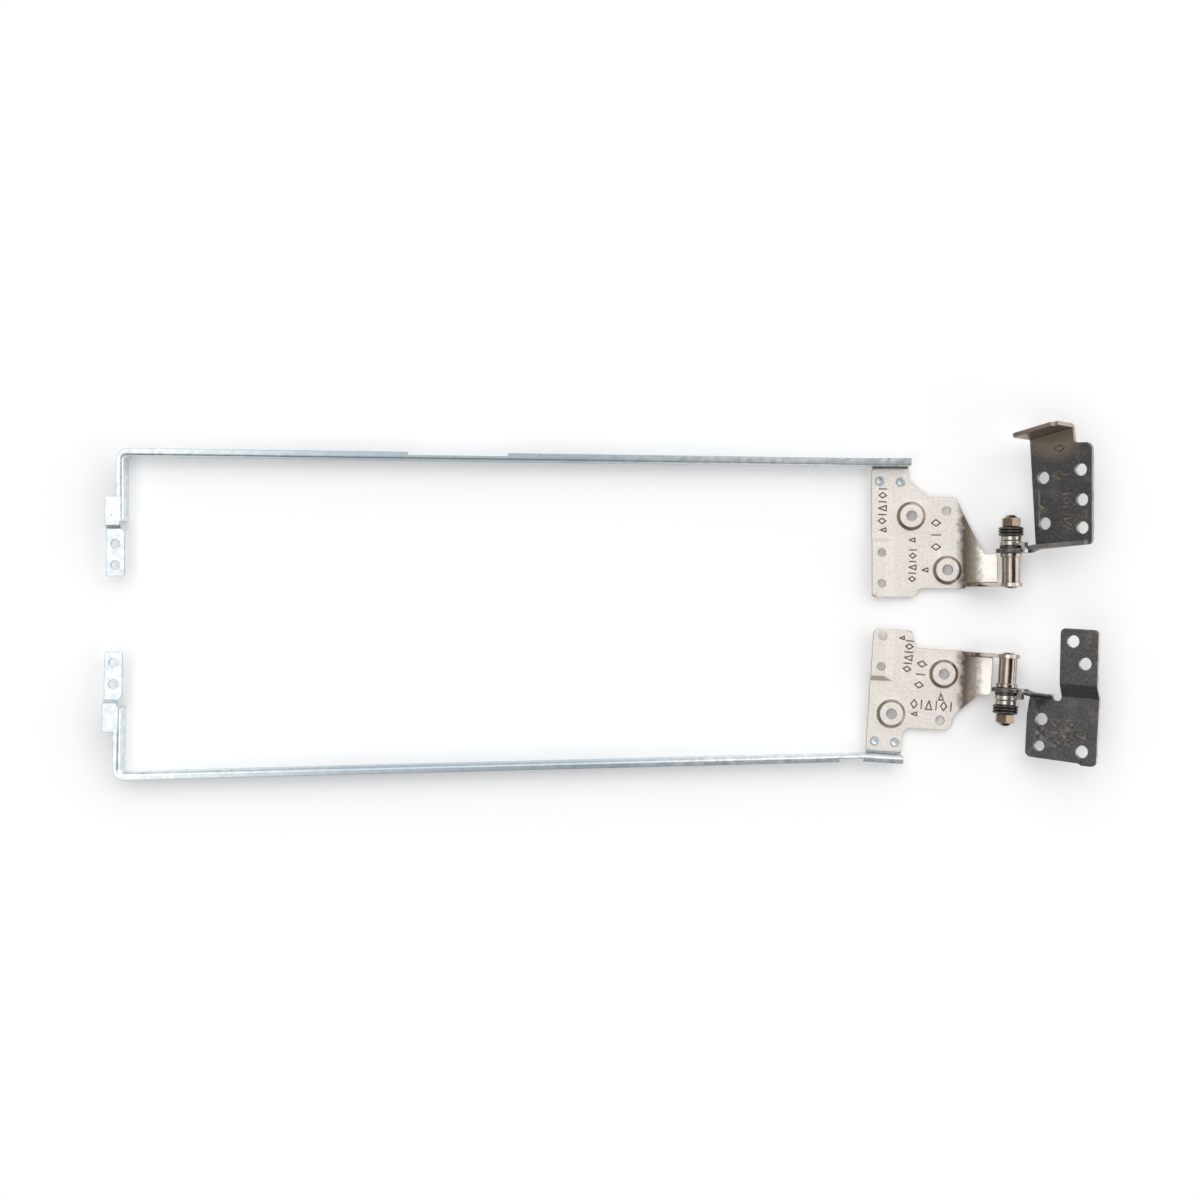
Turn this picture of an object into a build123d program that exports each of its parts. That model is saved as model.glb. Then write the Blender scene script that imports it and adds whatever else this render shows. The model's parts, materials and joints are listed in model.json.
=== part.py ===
from build123d import *
import os
from math import atan, cos, degrees, radians, sin, tan
from typing import NamedTuple

os.makedirs("parts", exist_ok=True)

# Sheets and their inner bend radii, all sizes in millimetres and degrees
rail_sheet = 0.7
rail_bend = 0.3
plate_sheet = 1.0
plate_bend = 0.4
bracket_sheet = 1.05
bracket_bend = 0.4

# Screen rail: flange, upright web, foot under the plate, leg and tip tab at the far end
rail_height = 5.6
flange_width = 2.0
rail_corner = 1.0
foot_depth = 5.7
foot_inset = 0.3
leg_length = 18.1
web_relief = 1.0
web_end_radius = 1.4
pad_length = 7.6
pad_step = 2.9
pad_corner = 0.5
joggle_run = 0.8
joggle_drop = 1.5
joggle_bend = 0.3
tab_length = 12.5
tab_width = 4.75
tab_corner = 0.6
tab_neck = 0.9
tab_hole = 2.35
tab_hole_spacing = 5.55
tab_hole_inset = 4.0
rivet_diameter = 2.1
rivet_head = 2.5
rivet_head_height = 0.3
rivet_head_slope = 35.0
rivet_dimple = 1.7
rivet_dimple_depth = 0.45
rivet_dimple_slope = 55.0

# Hinge plate: bosses, screw pad, ramp and the tang that holds the shaft
boss_foot = 8.0
boss_top = 5.9
boss_height = 0.9
boss_wall = 0.6
boss_hole = 2.75
boss_round = 0.35
locating_hole = 2.35
pad_screw_hole = 2.2
pad_screw_spacing = 8.05
pad_screw_inset = 2.5
pad_height = 0.8
pad_flat = 3.3
pad_slope = 3.1
pad_end_slope = 1.6
ramp_angle = 16.0
ramp_radius = 16.0
tang_reach = 10.8
tang_rake = 1.2
tang_top = 0.8
tang_corner = 1.0
tang_eye = 5.7
tang_relief = 0.6
plate_corner = 0.5
shoulder_corner = 1.0
slope_lean = 1.0
waist_round = 0.8
pad_neck_round = 0.8

# Shaft, whose axis lies level above the table
axis_height = 6.0
head_length = 0.45
head_diameter = 3.6
neck_diameter = 2.9
body_length = 6.6
body_diameter = 4.75
collar_length = 1.1
collar_diameter = 5.5
collar_break = 0.15
stem_diameter = 3.0
stem_flats = 2.2
tip_length = 0.75
tip_chamfer = 0.4

# Friction stack on the stem, in order from the collar
slide_gap = 0.05
running_clearance = 0.05
rim_break = 0.18
friction_washer_thickness = 0.8
friction_washer_diameter = 5.9
lug_washer_thickness = 1.3
lug_washer_diameter = 5.8
lug_width = 1.4
lug_reach = 4.9
lug_angle = 12.0
lug_thickness = 0.8
thrust_washer_thickness = 1.2
thrust_washer_diameter = 5.4
spring_count = 3
spring_thickness = 0.7
spring_pitch = 0.75
spring_dish = 0.3
spring_diameter = 6.6
spring_bore_clearance = 0.1
spring_rim_break = 0.28
nut_sides = 6
nut_flats = 4.5
nut_turn = 35.0
nut_height = 2.2
nut_bevel = 0.4
thread_clearance = 0.02

# Base bracket: plate, ear on the shaft, wall on the right one, raised arm on the left one
ear_diameter = 7.7
ear_bend_clear = 0.6
ear_bend_radius = 2.0
ear_arm_top = 0.9
ear_arm_end = 1.2
nose_reach = 5.2
nose_width = 1.3
nose_drop = 1.7
nose_thickness = 0.75
plate_drop = 4.5
screw_hole = 3.2
wall_height = 10.0
wall_notch_width = 1.2
wall_notch_height = 1.5
wall_notch_corner = 0.3
wall_corner = 0.8
arm_rise = 2.1
arm_bend = 0.8
rivet_clearance = 0.03

# Right bracket's plate, u from the shaft's axis and s along the shaft
right_root = 4.8
right_width = 20.4
right_length = 36.9
right_tail = 15.6
right_low_corner = 1.3
right_high_corner = 1.9
right_tail_corner = 0.8
right_holes = ((6.91, 28.22), (17.3, 29.92), (17.66, 22.23), (7.33, 16.37), (17.74, 15.06))
wall_start = (3.1, 38.2)
wall_end = (15.24, 40.9)

# Left bracket's plate and raised arm, in the same two directions
left_root = 4.9
left_waist = (4.3, 15.5)
left_waist_round = 3.0
left_near_foot = (4.4, 26.2)
left_near_round = 1.5
left_step = (18.6, 26.8)
left_step_run = 0.8
left_step_round = 0.4
left_far_edge = 27.3
left_width = 23.3
left_far_round = 1.4
left_side = (23.2, 10.0)
left_side_round = 2.0
left_arm_end = -7.7
left_arm_outer = 22.6
left_arm_inner = 12.6
left_arm_round = 1.3
left_throat = (13.2, 6.7)
left_throat_foot = (13.25, 11.2)
left_throat_round = 1.0
left_ear_end = 10.9
left_holes = ((16.1, -4.45), (19.59, 1.11), (8.26, 16.21), (19.41, 23.72))
left_small_hole = (8.09, 23.2)
left_small_diameter = 2.7
joggle_start = 9.6
joggle_end = 6.4

# Where the two tangs stand, before the pair is moved so that the frame's origin is under its middle
right_eye_x = 107.04
left_eye_x = 106.42
right_eye_y = 3.5
tang_spacing = 17.64
pair_x = 0.57
pair_y = 0.74


class Hinge(NamedTuple):
    """Where one hinge of the pair lies, and how far it stands open."""

    side: str
    sense: int
    eye_x: float
    eye_y: float
    turn: float
    lift: float


class PlateForm(NamedTuple):
    """Outline and holes of a hinge plate: x from the shaft's axis, or from the far edge, s along the shaft.

    The heel, the shoulder's start, the far boss and the rivets are measured from the far edge.
    """

    reach: float
    rail_edge: float
    heel: float
    heel_end: float
    shoulder_start: float
    shoulder: float
    shoulder_end: float
    shoulder_round: float
    slope_start: float
    waist: float
    end: float
    end_round: float
    ramp_end: float
    ramp_start: float
    tang_edge: float
    pad_inner: float
    pad_outer: float
    pad_edge: float
    pad_round: float
    pad_stop: float
    screw_row: float
    far_boss: tuple
    near_boss: tuple
    locating: tuple
    rivets: tuple


class RailForm(NamedTuple):
    """How a rail runs from the plate to its far corner."""

    gap: float
    bend_reach: float
    bend_radius: float
    spring: float
    length: float
    lean: float
    notch_start: float
    notch_end: float
    notch_depth: float


class EarForm(NamedTuple):
    """How the ear's arm runs off from the eye: u from the shaft's axis, s along the shaft."""

    bend_end: float
    bend_step: float
    end: float
    end_step: float


right = Hinge(
    side="right", sense=1, eye_x=right_eye_x + pair_x, eye_y=right_eye_y + pair_y, turn=0.0, lift=39.0,
)
left = Hinge(
    side="left", sense=-1, eye_x=left_eye_x + pair_x, eye_y=right_eye_y - tang_spacing + pair_y,
    turn=-3.55, lift=32.0,
)

right_plate = PlateForm(
    reach=35.6, rail_edge=30.85, heel=9.8, heel_end=28.0,
    shoulder_start=14.9, shoulder=23.5, shoulder_end=13.3, shoulder_round=2.0, slope_start=20.6,
    waist=6.3, end=8.5, end_round=0.6, ramp_end=2.8, ramp_start=9.75,
    tang_edge=-0.5, pad_inner=22.85, pad_outer=24.5, pad_edge=-2.7, pad_round=1.0, pad_stop=11.45,
    screw_row=0.88, far_boss=(10.31, 18.53), near_boss=(-15.85, 4.37), locating=(-16.03, 19.84),
    rivets=((2.12, 27.71), (7.63, 27.45)),
)
left_plate = PlateForm(
    reach=34.9, rail_edge=27.4, heel=9.3, heel_end=22.4,
    shoulder_start=10.5, shoulder=20.95, shoulder_end=13.4, shoulder_round=2.0, slope_start=16.9,
    waist=6.4, end=11.0, end_round=1.4, ramp_end=3.2, ramp_start=9.15,
    tang_edge=-0.1, pad_inner=23.3, pad_outer=24.9, pad_edge=-4.6, pad_round=1.4, pad_stop=7.6,
    screw_row=-2.74, far_boss=(5.96, 17.48), near_boss=(-15.8, 6.22), locating=(-15.98, 18.44),
    rivets=((2.19, 24.91), (7.42, 24.93)),
)

right_rail = RailForm(
    gap=0.6, bend_reach=4.3, bend_radius=70.0, spring=0.79, length=190.95, lean=0.0,
    notch_start=91.0, notch_end=117.0, notch_depth=0.8,
)
left_rail = RailForm(
    gap=0.75, bend_reach=0.8, bend_radius=20.0, spring=5.0, length=193.9, lean=-2.6,
    notch_start=0.4, notch_end=6.6, notch_depth=0.9,
)

right_ear = EarForm(bend_end=5.8, bend_step=0.95, end=right_width - right_low_corner, end_step=1.95)
left_ear = EarForm(bend_end=5.8, bend_step=0.7, end=left_ear_end, end_step=0.95)

# Levels and places that follow from the sizes above
plate_under = rail_sheet
plate_top = rail_sheet + plate_sheet
collar_start = plate_sheet + body_length
collar_end = collar_start + collar_length
ear_start = collar_end + slide_gap
friction_start = ear_start + bracket_sheet
lug_start = friction_start + friction_washer_thickness
thrust_start = lug_start + lug_washer_thickness + slide_gap
spring_start = thrust_start + thrust_washer_thickness
nut_start = spring_start + spring_pitch * (spring_count - 1) + spring_thickness + spring_dish
stem_end = nut_start + nut_height + tip_length
bracket_under = -plate_drop - bracket_sheet
ear_bend_start = friction_washer_diameter / 2 + ear_bend_clear


def plan(hinge, z=0.0):
    """Level plane, its origin under the shaft's axis at the tang's outer face."""
    turn = radians(hinge.turn)
    return Plane(origin=(hinge.eye_x, hinge.eye_y, z), x_dir=(cos(turn), sin(turn), 0), z_dir=(0, 0, 1))


def across(hinge, s, slope=0.0):
    """Plane square to the shaft at s: local x away from the plate, raised by the slope."""
    base = plan(hinge, axis_height)
    x_dir = base.x_dir * cos(radians(slope)) + base.z_dir * sin(radians(slope))
    return Plane(origin=base.from_local_coords((0, hinge.sense * s, 0)), x_dir=x_dir, z_dir=base.y_dir * -1)


def along(hinge, length):
    """Extrusion from a plane square to the shaft towards the nut."""
    return -hinge.sense * length


def turning(hinge):
    """Plane through the shaft's axis: local x along the shaft, local y is the radius."""
    base = plan(hinge, axis_height)
    return Plane(origin=base.origin, x_dir=base.y_dir * hinge.sense, z_dir=base.x_dir * hinge.sense)


def bracket_face(hinge, w):
    """Plane of the base bracket's sheet at height w from the shaft's axis."""
    base = across(hinge, 0, hinge.lift)
    return Plane(origin=base.origin + base.y_dir * w, x_dir=base.x_dir, z_dir=base.y_dir)


def outer_side(hinge):
    """Side of a line drawn away from the plate on which s grows."""
    return Side.LEFT if hinge.sense > 0 else Side.RIGHT


def outline(hinge, corners):
    """Closed outline in a sketch, each corner given as x, s and its radius."""
    points = [(x, hinge.sense * s) for x, s, r in corners]
    with BuildLine() as line:
        FilletPolyline(*points, radius=[r for x, s, r in corners], close=True)
    make_face(line.edges())


def circles(hinge, places, diameter):
    """Round outlines in a sketch at the places given as x and s."""
    with Locations(*[(x, hinge.sense * s) for x, s in places]):
        Circle(diameter / 2)


def from_far_edge(form, places):
    """Places given from the plate's far edge, as x from the shaft's axis and s."""
    return [(x - form.reach, s) for x, s in places]


def boss_places(form):
    """Places of the plate's two bosses, as x from the shaft's axis and s."""
    return from_far_edge(form, [form.far_boss]) + [form.near_boss]


def hinge_plate(hinge, form):
    """Stamped plate with its ramp, bosses, screw pad and tang."""
    bosses = boss_places(form)
    ramp_slope = tan(radians(ramp_angle))
    ramp_rise = (form.ramp_start - form.ramp_end) * ramp_slope
    low = plate_under - axis_height
    taper = degrees(atan((boss_foot - boss_top) / 2 / boss_height))
    screws = [(-form.reach + pad_screw_inset, form.screw_row + step) for step in (0, pad_screw_spacing)]
    slope_x = -form.reach + pad_flat + pad_slope
    slope_s = form.pad_stop + pad_end_slope
    with BuildPart() as plate:
        with BuildSketch(across(hinge, form.pad_edge)):
            with BuildLine():
                FilletPolyline(
                    (-form.reach, low),
                    (-form.ramp_start, low),
                    (-form.ramp_end, low + ramp_rise),
                    radius=ramp_radius,
                )
                offset(amount=plate_sheet, side=Side.LEFT)
            make_face()
        extrude(amount=along(hinge, form.rail_edge - form.pad_edge))
        # Pressed-up screw pad, its hollow below
        for z, mode in ((plate_top, Mode.ADD), (plate_under, Mode.SUBTRACT)):
            with BuildSketch(plan(hinge, z)):
                outline(hinge, [
                    (-form.reach, form.pad_edge, 0),
                    (slope_x, form.pad_edge, 0),
                    (slope_x, slope_s, 0),
                    (-form.reach, slope_s, 0),
                ])
            with BuildSketch(plan(hinge, z + pad_height)):
                outline(hinge, [
                    (-form.reach, form.pad_edge, 0),
                    (-form.reach + pad_flat, form.pad_edge, 0),
                    (-form.reach + pad_flat, form.pad_stop, 0),
                    (-form.reach, form.pad_stop, 0),
                ])
            loft(ruled=True, mode=mode)
        # Pressed-up bosses, their hollows below
        with BuildSketch(plan(hinge, plate_top)):
            circles(hinge, bosses, boss_foot)
        extrude(amount=boss_height, taper=taper)
        fillet(plate.faces().filter_by(Axis.Z).group_by(Axis.Z)[-1].edges(), radius=boss_round)
        with BuildSketch(plan(hinge, plate_under)):
            circles(hinge, bosses, boss_foot - 2 * boss_wall)
        extrude(amount=boss_height, taper=taper, mode=Mode.SUBTRACT)
        with BuildSketch(plan(hinge)):
            outline(hinge, [
                (-form.reach, form.rail_edge, plate_corner),
                (form.heel - form.reach, form.rail_edge, plate_corner),
                (form.heel - form.reach, form.heel_end, plate_corner),
                (form.shoulder_start - form.reach, form.shoulder, shoulder_corner),
                (-form.shoulder_end, form.shoulder, form.shoulder_round),
                (-form.shoulder_end + slope_lean, form.slope_start, plate_corner),
                (-form.waist, form.end, waist_round),
                (-form.ramp_end, form.end, form.end_round),
                (-form.ramp_end, 0, 0),
                (-tang_reach, 0, 0),
                (-tang_reach - tang_relief, form.tang_edge, 0),
                (-form.pad_inner, form.tang_edge, pad_neck_round),
                (-form.pad_outer, form.pad_edge, pad_neck_round),
                (-form.reach, form.pad_edge, form.pad_round),
            ])
        extrude(amount=axis_height, mode=Mode.INTERSECT)
        # Upright tang with the eye for the shaft
        with BuildSketch(across(hinge, 0)):
            with BuildLine():
                FilletPolyline(
                    (-tang_reach, low + plate_sheet / 2),
                    (-tang_reach + tang_rake, tang_top),
                    (0, tang_top),
                    (0, -tang_eye / 2),
                    (-form.ramp_end, low + ramp_rise + plate_sheet / 2),
                    radius=[0, tang_corner, 0, 0, 0],
                    close=True,
                )
            make_face()
            Circle(tang_eye / 2)
        extrude(amount=along(hinge, plate_sheet))
        inside = across(hinge, plate_sheet)
        bends = [
            inside.from_local_coords((x, low + plate_sheet + (x + form.ramp_start) * ramp_slope))
            for x in (-(form.ramp_end + form.ramp_start) / 2, -form.ramp_start)
        ]
        fillet([plate.edges().sort_by_distance(bend)[0] for bend in bends], radius=plate_bend)
        with BuildSketch(across(hinge, 0)):
            Circle(neck_diameter / 2 + rivet_clearance)
        extrude(amount=along(hinge, plate_sheet), mode=Mode.SUBTRACT)
        # Holes through the sheet
        with BuildSketch(plan(hinge)):
            circles(hinge, bosses, boss_hole)
            circles(hinge, [form.locating], locating_hole)
            circles(hinge, screws, pad_screw_hole)
            circles(hinge, from_far_edge(form, form.rivets), rivet_diameter + 2 * rivet_clearance)
        extrude(amount=axis_height, mode=Mode.SUBTRACT)
    return plate


def leg_start(hinge, plate_form, form):
    """Plan place of the rail's bend, its inner corner and the end of its leg, on the web's inner face."""
    web = plate_form.rail_edge + form.gap
    bend_x = -plate_form.reach - form.bend_reach
    corner_x = bend_x - form.length * cos(radians(form.spring))
    corner_s = web + form.length * sin(radians(form.spring))
    end_x = corner_x + leg_length * sin(radians(form.lean))
    end_s = corner_s - leg_length * cos(radians(form.lean))
    return (bend_x, web), (corner_x, corner_s), (end_x, end_s)


def level_plane(hinge, place, towards, z=0.0):
    """Level plane at a place, local x pointing towards another place of the same hinge."""
    base = plan(hinge, z)
    origin = base.from_local_coords((place[0], hinge.sense * place[1], 0))
    target = base.from_local_coords((towards[0], hinge.sense * towards[1], 0))
    return Plane(origin=origin, x_dir=(target - origin).normalized(), z_dir=(0, 0, 1))


def rail_section(with_foot):
    """Edge of the rail's sheet: distance outwards from the web's inner face, height above the table."""
    inner = rail_bend
    outer = rail_bend + rail_sheet
    top = [(flange_width, rail_height), (0, rail_height)]
    with BuildLine() as line:
        if with_foot:
            FilletPolyline(*top, (0, rail_sheet), (-foot_depth, rail_sheet), radius=[outer, inner])
        else:
            FilletPolyline(*top, (0, 0), radius=outer)
        offset(amount=rail_sheet, side=Side.LEFT)
    make_face(line.edges())


def screen_rail(hinge, plate_form, form):
    """Folded rail with its foot, rivets, leg and tip tab."""
    bend, corner, end = leg_start(hinge, plate_form, form)
    web = bend[1]
    foot_start = foot_inset - plate_form.reach
    base = plan(hinge)
    section = Plane(
        origin=base.from_local_coords((foot_start, hinge.sense * web, 0)),
        x_dir=base.y_dir * hinge.sense,
        z_dir=base.x_dir * hinge.sense,
    )
    rail_plane = level_plane(hinge, bend, corner)
    leg_plane = level_plane(hinge, end, end_ahead(corner, end))
    pad_width = flange_width + pad_step
    tab_inner = pad_width - tab_width
    rivets = from_far_edge(plate_form, plate_form.rivets)
    out = -hinge.sense
    with BuildPart() as rail:
        with BuildSketch(section):
            rail_section(True)
        extrude(amount=hinge.sense * (plate_form.heel - plate_form.reach - foot_start))
        with BuildLine(base) as path:
            FilletPolyline(
                (foot_start, hinge.sense * web),
                (bend[0], hinge.sense * bend[1]),
                (corner[0], hinge.sense * corner[1]),
                (end[0], hinge.sense * end[1]),
                radius=[form.bend_radius, rail_corner],
            )
        with BuildSketch(section):
            rail_section(False)
        sweep(path=path.line)
        # Wide pad on the leg
        with BuildSketch(leg_plane.offset(rail_height - rail_sheet)):
            with BuildLine():
                FilletPolyline(
                    (0, out * rail_sheet),
                    (0, out * pad_width),
                    (-pad_length, out * pad_width),
                    (-pad_length, out * rail_sheet),
                    radius=[0, 0, pad_corner, 0],
                    close=True,
                )
            make_face()
        extrude(amount=rail_sheet)
        # Free end of the web, cut back from the leg's end
        with BuildSketch(leg_plane):
            with BuildLine():
                Polyline(
                    (-web_relief, -out * rail_sheet),
                    (rail_sheet, -out * rail_sheet),
                    (rail_sheet, out * (rail_sheet + rail_bend)),
                    (-web_relief, out * (rail_sheet + rail_bend)),
                    close=True,
                )
            make_face()
        extrude(amount=rail_height, mode=Mode.SUBTRACT)
        web_foot = leg_plane.from_local_coords((-web_relief, out * rail_sheet / 2, 0))
        fillet(rail.edges().sort_by_distance(web_foot)[0], radius=web_end_radius)
        # Joggle down to the tip tab
        side_plane = Plane(
            origin=leg_plane.from_local_coords((0, out * tab_inner, rail_height)),
            x_dir=leg_plane.x_dir,
            z_dir=leg_plane.y_dir * -1,
        )
        back = rail_sheet * tan(atan(joggle_drop / joggle_run) / 2)
        outer_bend = joggle_bend + rail_sheet
        with BuildSketch(side_plane):
            with BuildLine():
                FilletPolyline(
                    (-2 * rail_sheet, 0),
                    (0, 0),
                    (joggle_run, -joggle_drop),
                    (joggle_run + tab_length, -joggle_drop),
                    (joggle_run + tab_length, -joggle_drop - rail_sheet),
                    (joggle_run - back, -joggle_drop - rail_sheet),
                    (-back, -rail_sheet),
                    (-2 * rail_sheet, -rail_sheet),
                    radius=[0, outer_bend, joggle_bend, 0, 0, outer_bend, joggle_bend, 0],
                    close=True,
                )
            make_face()
        extrude(amount=hinge.sense * tab_width)
        with BuildSketch(leg_plane):
            neck = out * (rail_sheet + rail_bend)
            with BuildLine():
                Polyline(
                    (-web_relief, -out * rail_sheet),
                    (joggle_run + tab_neck, -out * rail_sheet),
                    (joggle_run + tab_neck, out * tab_inner),
                    (joggle_run, neck),
                    (-web_relief, neck),
                    close=True,
                )
            make_face()
        extrude(amount=rail_height, mode=Mode.SUBTRACT)
        # Corners and holes of the tab
        tip = joggle_run + tab_length
        corners = [
            leg_plane.from_local_coords((tip, y, rail_height - joggle_drop - rail_sheet / 2))
            for y in (out * pad_width, out * tab_inner)
        ]
        fillet([rail.edges().filter_by(Axis.Z).sort_by_distance(c)[0] for c in corners], radius=tab_corner)
        middle = out * (pad_width + tab_inner) / 2
        with BuildSketch(leg_plane):
            with Locations((joggle_run + tab_hole_inset, middle)):
                Circle(tab_hole / 2)
            with Locations((joggle_run + tab_hole_inset + tab_hole_spacing, middle)):
                Circle(tab_hole / 2)
        extrude(amount=rail_height, mode=Mode.SUBTRACT)
        # Edge of the flange cut back over a short run
        with BuildSketch(rail_plane):
            with BuildLine():
                Polyline(
                    (form.notch_start, out * (flange_width - form.notch_depth)),
                    (form.notch_end, out * (flange_width - form.notch_depth)),
                    (form.notch_end, out * (flange_width + form.notch_depth)),
                    (form.notch_start, out * (flange_width + form.notch_depth)),
                    close=True,
                )
            make_face()
        extrude(amount=rail_height, mode=Mode.SUBTRACT)
        # Rivets formed up through the plate, their heads spread by a pointed punch
        with BuildSketch(plan(hinge, rail_sheet)):
            circles(hinge, rivets, rivet_diameter)
        extrude(amount=plate_sheet)
        with BuildSketch(plan(hinge, plate_top)):
            circles(hinge, rivets, rivet_head)
        extrude(amount=rivet_head_height, taper=rivet_head_slope)
        with BuildSketch(plan(hinge, plate_top + rivet_head_height)):
            circles(hinge, rivets, rivet_dimple)
        extrude(amount=-rivet_dimple_depth, taper=rivet_dimple_slope, mode=Mode.SUBTRACT)
    return rail


def end_ahead(corner, end):
    """Place one leg's length past the end of the leg."""
    return (2 * end[0] - corner[0], 2 * end[1] - corner[1])


def shaft(hinge):
    """Turned shaft, riveted in the tang, with a double-D stem."""
    plane = turning(hinge)
    with BuildPart() as pin:
        with BuildSketch(plane):
            with BuildLine():
                Polyline(
                    (-head_length, 0),
                    (-head_length, head_diameter / 2 - head_length),
                    (0, head_diameter / 2),
                    (0, neck_diameter / 2),
                    (plate_sheet, neck_diameter / 2),
                    (plate_sheet, body_diameter / 2),
                    (collar_start, body_diameter / 2),
                    (collar_start, collar_diameter / 2 - collar_break),
                    (collar_start + collar_break, collar_diameter / 2),
                    (collar_end - collar_break, collar_diameter / 2),
                    (collar_end, collar_diameter / 2 - collar_break),
                    (collar_end, stem_diameter / 2),
                    (stem_end - tip_chamfer, stem_diameter / 2),
                    (stem_end, stem_diameter / 2 - tip_chamfer),
                    (stem_end, 0),
                    close=True,
                )
            make_face()
        revolve(axis=Axis(plane.origin, plane.x_dir))
        with BuildSketch(across(hinge, collar_end)):
            Circle(stem_diameter)
            stem_outline(0, Mode.SUBTRACT)
        extrude(amount=along(hinge, stem_end - collar_end), mode=Mode.SUBTRACT)
    return pin


def stem_outline(clearance, mode=Mode.ADD):
    """Double-D outline of the stem, grown by a clearance."""
    with BuildSketch(mode=Mode.PRIVATE) as outline_d:
        Circle(stem_diameter / 2 + clearance)
        Rectangle(stem_diameter + 4 * clearance, stem_flats + 2 * clearance, mode=Mode.INTERSECT)
    add(outline_d.sketch, mode=mode)


def washer_blank(hinge, start, thickness, diameter):
    """Round blank of a washer, its two rims broken."""
    with BuildPart() as blank:
        with BuildSketch(across(hinge, start)):
            Circle(diameter / 2)
        extrude(amount=along(hinge, thickness))
        chamfer(blank.edges().filter_by(GeomType.CIRCLE), length=rim_break)
    return blank


def friction_washer(hinge):
    """Plain round washer, free on the stem."""
    blank = washer_blank(hinge, friction_start, friction_washer_thickness, friction_washer_diameter)
    with BuildPart() as ring:
        add(blank.part)
        with BuildSketch(across(hinge, friction_start)):
            Circle(stem_diameter / 2 + running_clearance)
        extrude(amount=along(hinge, friction_washer_thickness), mode=Mode.SUBTRACT)
    return ring


def lug_washer(hinge):
    """Washer with a lug bent over the ear, so that it turns with the bracket."""
    lug_dir = hinge.lift + lug_angle
    rim = ear_diameter / 2 + running_clearance
    blank = washer_blank(hinge, lug_start, lug_washer_thickness, lug_washer_diameter)
    with BuildPart() as ring:
        add(blank.part)
        with BuildSketch(across(hinge, lug_start, lug_dir)):
            with Locations((lug_reach / 2, 0)):
                Rectangle(lug_reach, lug_width)
        extrude(amount=along(hinge, lug_thickness))
        with BuildSketch(across(hinge, ear_start, lug_dir)):
            with Locations(((rim + lug_reach) / 2, 0)):
                Rectangle(lug_reach - rim, lug_width)
        extrude(amount=along(hinge, lug_start - ear_start))
        with BuildSketch(across(hinge, lug_start, lug_dir)):
            Circle(stem_diameter / 2 + running_clearance)
        extrude(amount=along(hinge, lug_washer_thickness), mode=Mode.SUBTRACT)
    return ring


def thrust_washer(hinge):
    """Washer keyed to the flats of the stem."""
    blank = washer_blank(hinge, thrust_start, thrust_washer_thickness, thrust_washer_diameter)
    with BuildPart() as ring:
        add(blank.part)
        with BuildSketch(across(hinge, thrust_start)):
            stem_outline(running_clearance)
        extrude(amount=along(hinge, thrust_washer_thickness), mode=Mode.SUBTRACT)
    return ring


def spring_washer(hinge, number):
    """Dished spring washer with a pointed rim, dished away from the collar."""
    plane = turning(hinge)
    start = spring_start + spring_pitch * number
    bore = stem_diameter / 2 + spring_bore_clearance
    rim = spring_diameter / 2
    shoulder = rim - spring_rim_break
    step = spring_dish * spring_rim_break / (rim - bore)
    with BuildPart() as disc:
        with BuildSketch(plane):
            with BuildLine():
                Polyline(
                    (start + spring_dish, bore),
                    (start + step, shoulder),
                    (start + spring_rim_break, rim),
                    (start + spring_thickness - spring_rim_break, rim),
                    (start + step + spring_thickness, shoulder),
                    (start + spring_dish + spring_thickness, bore),
                    close=True,
                )
            make_face()
        revolve(axis=Axis(plane.origin, plane.x_dir))
    return disc


def lock_nut(hinge):
    """Hexagon nut with bevelled corners on the outer side."""
    plane = turning(hinge)
    corner = nut_flats / 2 / cos(radians(180 / nut_sides))
    with BuildPart() as nut:
        with BuildSketch(across(hinge, nut_start)):
            RegularPolygon(nut_flats / 2, side_count=nut_sides, major_radius=False, rotation=nut_turn)
        extrude(amount=along(hinge, nut_height))
        with BuildSketch(plane):
            with BuildLine():
                Polyline(
                    (nut_start, stem_diameter / 2 + thread_clearance),
                    (nut_start, corner),
                    (nut_start + nut_height - nut_bevel, corner),
                    (nut_start + nut_height, corner - nut_bevel),
                    (nut_start + nut_height, stem_diameter / 2 + thread_clearance),
                    close=True,
                )
            make_face()
        revolve(axis=Axis(plane.origin, plane.x_dir), mode=Mode.INTERSECT)
    return nut


def ear_edge(form, u):
    """Place s of the ear's outer face past its bend."""
    share = (u - form.bend_end) / (form.end - form.bend_end)
    return ear_start + form.bend_step + share * (form.end_step - form.bend_step)


def ear(hinge, form):
    """Ear with its bent arm, before it joins the bracket's plate."""
    with BuildPart() as lug:
        with BuildSketch(bracket_face(hinge, bracket_under)):
            points = [
                (-ear_diameter / 2, ear_start),
                (ear_bend_start, ear_start),
                (form.bend_end, ear_start + form.bend_step),
                (form.end, ear_start + form.end_step),
            ]
            with BuildLine():
                FilletPolyline(*[(u, hinge.sense * s) for u, s in points], radius=ear_bend_radius)
                offset(amount=bracket_sheet, side=outer_side(hinge))
            make_face()
        extrude(amount=ear_diameter / 2 - bracket_under)
        with BuildSketch(across(hinge, ear_start, hinge.lift)):
            Circle(ear_diameter / 2)
            with BuildLine():
                Polyline(
                    (0, ear_arm_top),
                    (form.end + bracket_sheet, -plate_drop + ear_arm_end),
                    (form.end + bracket_sheet, bracket_under),
                    (form.bend_end, bracket_under),
                    (0, -ear_diameter / 2),
                    close=True,
                )
            make_face()
        extrude(amount=along(hinge, form.end_step + 2 * bracket_sheet), mode=Mode.INTERSECT)
        with BuildSketch(across(hinge, ear_start, hinge.lift)):
            with Locations((nose_reach / 2, -nose_drop)):
                Rectangle(nose_reach, nose_width)
        extrude(amount=along(hinge, nose_thickness))
    return lug


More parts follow.
